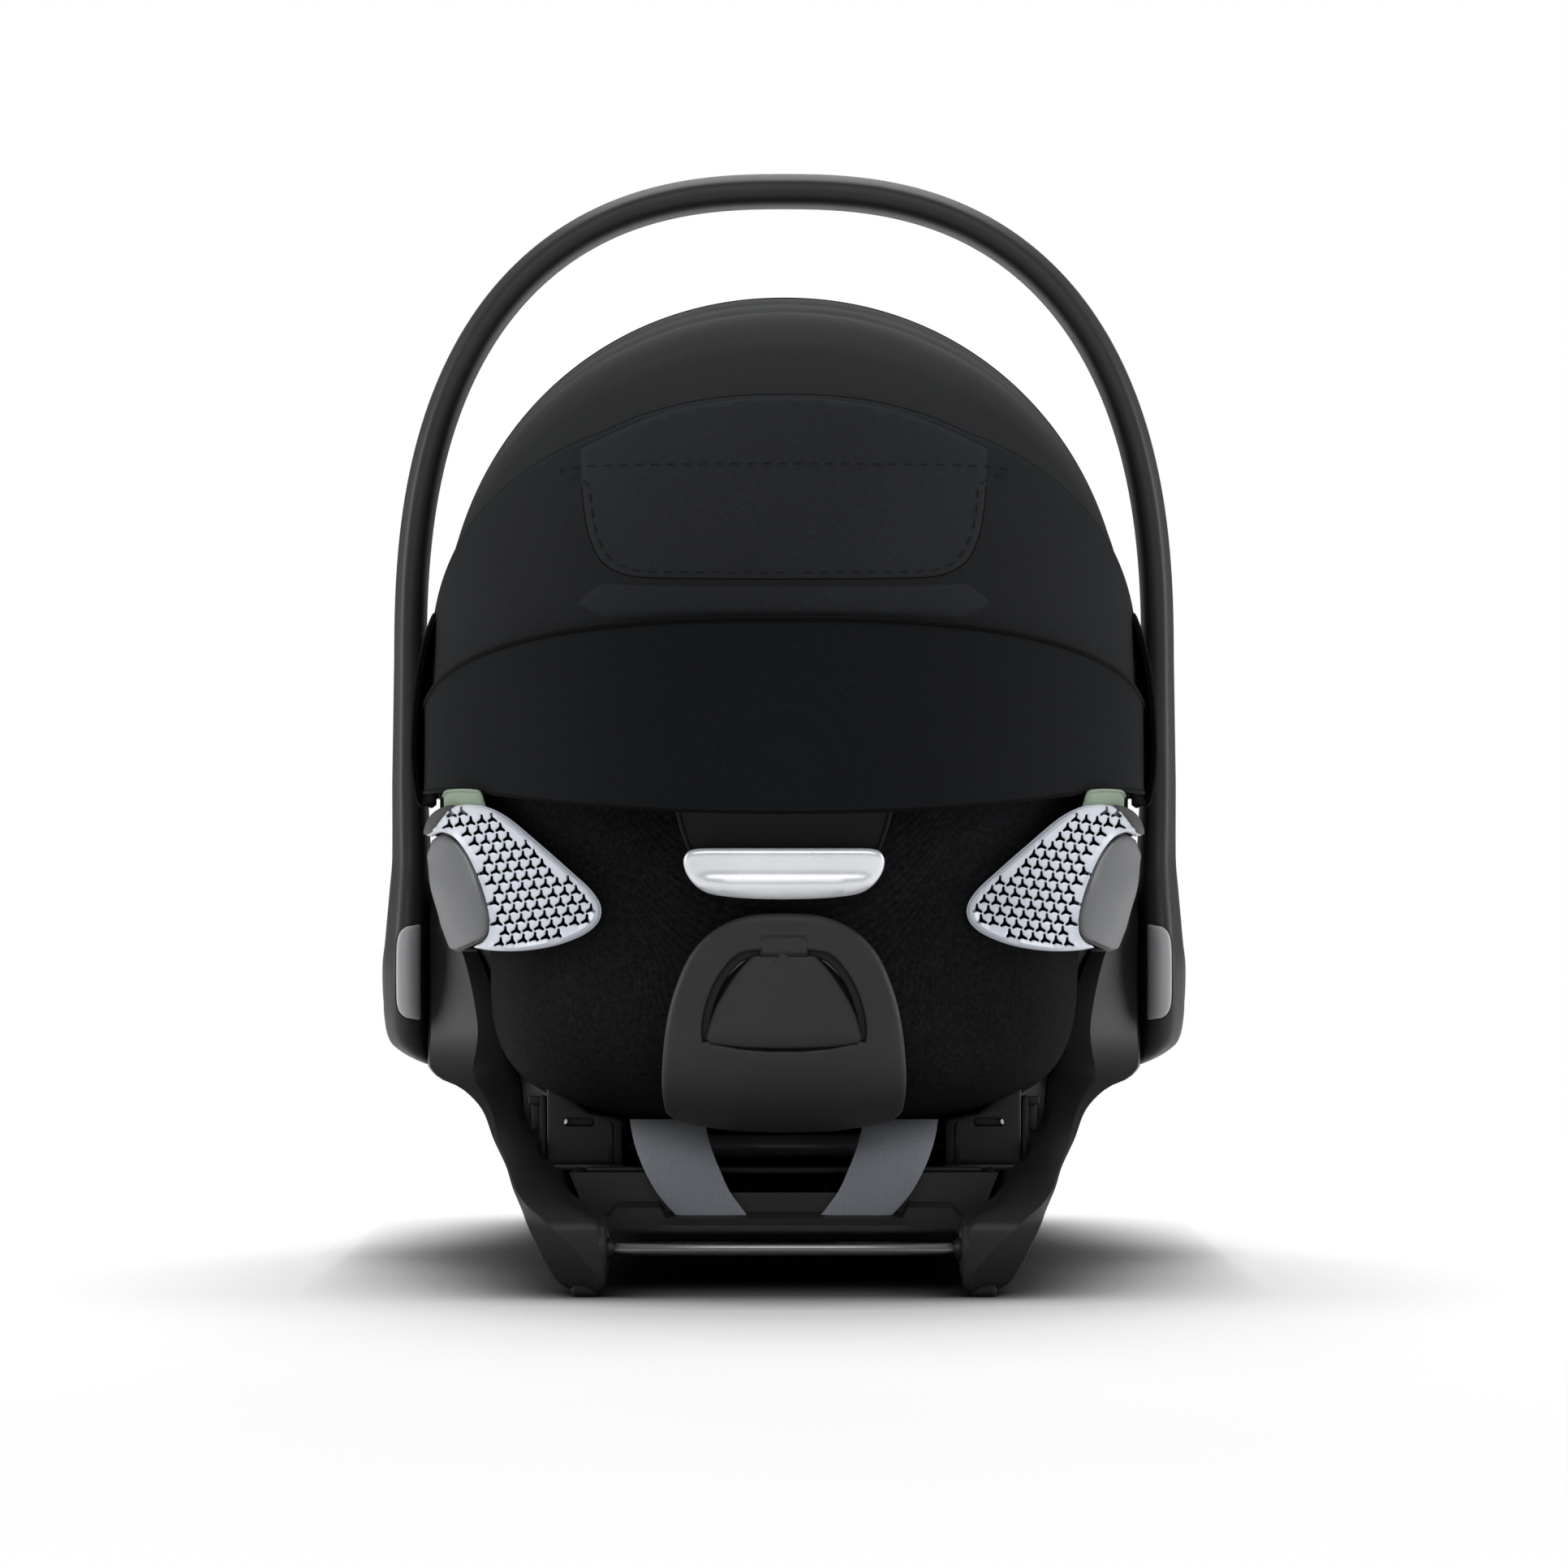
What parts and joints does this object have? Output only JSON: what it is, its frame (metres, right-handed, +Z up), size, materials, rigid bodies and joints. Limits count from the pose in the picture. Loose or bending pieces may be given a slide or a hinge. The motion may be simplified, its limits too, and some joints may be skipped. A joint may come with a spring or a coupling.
{
  "type": "child car seat",
  "caption": "Infant carrier seat with a turning arch handle, a reclining bucket seat in a skid-footed carrier, perforated side wings and a folding canopy.",
  "frame": {"origin": "on the floor, under the middle of the part's bounding box", "axes": "+Z up, +Y towards the foot end, -Y towards the head end, +X to the right as seen from the head end; the mirror plane is X = 0"},
  "size_m": [0.4394, 0.6571, 0.5946],
  "materials": {
    "housing": "fine grained, dark grey",
    "frame": "fine grained, charcoal",
    "black_plastic": "grained black",
    "button_grey": "satin grey",
    "steel": "bright drawn bar",
    "rubber": "matt black",
    "shell": "grained black",
    "cover_fabric": "heathered black knit",
    "smooth_trim": "smooth black",
    "canopy_fabric": "heathered black cloth",
    "silver": "satin silver",
    "green": "sage green",
    "pale_grey": "satin, light cool grey",
    "brushed_grey": "brushed look, mid grey",
    "webbing": "woven, slate blue-grey",
    "foam": "moulded bead foam",
    "lining": "soft knit, charcoal",
    "release_red": "red"
  },
  "bodies": {
    "carrier": {"carrier_side_left": "frame", "carrier_side_right": "frame", "foot_pad_rear_left": "rubber", "foot_pad_rear_right": "rubber", "foot_pad_front_left": "rubber", "foot_pad_front_right": "rubber", "latch_bar_rear": "steel", "latch_bar_front": "steel", "base_pan": "black_plastic", "recline_roller_shaft": "steel", "hub_pin_left": "steel", "hub_pin_right": "steel", "recline_bracket_left": "black_plastic", "recline_bracket_right": "black_plastic", "cross_tube": "steel", "rear_strap_left": "webbing", "rear_strap_right": "webbing"},
    "handle": {"handle_arch": "housing"},
    "handle_release_left": {"handle_button_left": "button_grey"},
    "handle_release_right": {"handle_button_right": "button_grey"},
    "seat": {"seat_shell": "shell", "recline_rocker_left": "black_plastic", "recline_rocker_right": "black_plastic", "back_cover": "cover_fabric", "recline_recess": "smooth_trim", "belt_plate": "housing", "belt_liner": "green", "impact_wing_left": "pale_grey", "impact_wing_right": "pale_grey", "belt_guide_left": "green", "belt_guide_right": "green", "foam_liner": "foam", "seat_cushion": "lining", "newborn_insert": "lining", "shoulder_strap_left": "webbing", "shoulder_strap_right": "webbing", "shoulder_pad_left": "lining", "shoulder_pad_right": "lining", "lap_strap_left": "webbing", "lap_strap_right": "webbing", "crotch_pad": "lining", "buckle_body": "black_plastic", "adjuster_housing": "black_plastic", "canopy_pivot_left": "black_plastic", "canopy_pivot_right": "black_plastic", "canopy_rear_panel": "canopy_fabric"},
    "recline_grip": {"recline_handle": "silver"},
    "belt_flap": {"belt_hook": "housing"},
    "side_cap_left": {"impact_cap_left": "brushed_grey"},
    "side_cap_right": {"impact_cap_right": "brushed_grey"},
    "headrest": {"headrest_shell": "shell", "headrest_pad": "lining"},
    "buckle_release": {"buckle_button": "release_red"},
    "adjuster_release": {"adjuster_button": "button_grey"},
    "canopy_mid": {"canopy_mid_panel": "canopy_fabric"},
    "canopy_upper": {"canopy_upper_panel": "canopy_fabric", "canopy_bow_mid": "black_plastic"},
    "canopy_front": {"canopy_front_panel": "canopy_fabric", "canopy_bow_front": "black_plastic"}
  },
  "joints": [
    {"name": "handle_turn", "type": "hinge", "parent": "carrier", "child": "handle", "pos_m": [0, 0, 0.153], "axis": [1, 0, 0], "range_deg": [0, 105]},
    {"name": "handle_button_left_press", "type": "slide", "parent": "handle", "child": "handle_release_left", "axis": [0, 1, 0], "range_m": [0, 0.004], "stiffness_N_per_m": 600},
    {"name": "handle_button_right_press", "type": "slide", "parent": "handle", "child": "handle_release_right", "axis": [0, 1, 0], "range_m": [0, 0.004], "stiffness_N_per_m": 600},
    {"name": "seat_recline", "type": "hinge", "parent": "carrier", "child": "seat", "pos_m": [0, -0.19, 0.44], "axis": [1, 0, 0], "range_deg": [0, 10]},
    {"name": "recline_grip_pull", "type": "slide", "parent": "seat", "child": "recline_grip", "axis": [0, -0.1625, 0.9867], "range_m": [0, 0.006], "stiffness_N_per_m": 500},
    {"name": "belt_flap_turn", "type": "hinge", "parent": "seat", "child": "belt_flap", "pos_m": [0, -0.30317, 0.127], "axis": [1, 0, 0], "range_deg": [0, 35], "stiffness_Nm_per_rad": 0.15, "springref_deg": -22.92},
    {"name": "side_cap_left_pull", "type": "slide", "parent": "seat", "child": "side_cap_left", "axis": [-1, 0, 0], "range_m": [0, 0.025]},
    {"name": "side_cap_right_pull", "type": "slide", "parent": "seat", "child": "side_cap_right", "axis": [1, 0, 0], "range_m": [0, 0.025]},
    {"name": "headrest_height", "type": "slide", "parent": "seat", "child": "headrest", "axis": [0, -0.6576, 0.7533], "range_m": [0, 0.06]},
    {"name": "buckle_press", "type": "slide", "parent": "seat", "child": "buckle_release", "axis": [0, 0.3285, -0.9445], "range_m": [0, 0.003], "stiffness_N_per_m": 900},
    {"name": "adjuster_press", "type": "slide", "parent": "seat", "child": "adjuster_release", "axis": [0, 0.4357, -0.9001], "range_m": [0, 0.003], "stiffness_N_per_m": 900},
    {"name": "canopy_mid_turn", "type": "hinge", "parent": "seat", "child": "canopy_mid", "pos_m": [0, -0.01, 0.262], "axis": [1, 0, 0], "range_deg": [0, 14]},
    {"name": "canopy_upper_turn", "type": "hinge", "parent": "canopy_mid", "child": "canopy_upper", "pos_m": [0, -0.01, 0.262], "axis": [1, 0, 0], "range_deg": [0, 10]},
    {"name": "canopy_front_turn", "type": "hinge", "parent": "canopy_upper", "child": "canopy_front", "pos_m": [0, -0.01, 0.262], "axis": [1, 0, 0], "range_deg": [0, 38]}
  ],
  "couplings": [
    {"joint": "canopy_mid_turn", "follows": "canopy_front_turn", "ratio": 0.36842},
    {"joint": "canopy_upper_turn", "follows": "canopy_front_turn", "ratio": 0.26316}
  ]
}
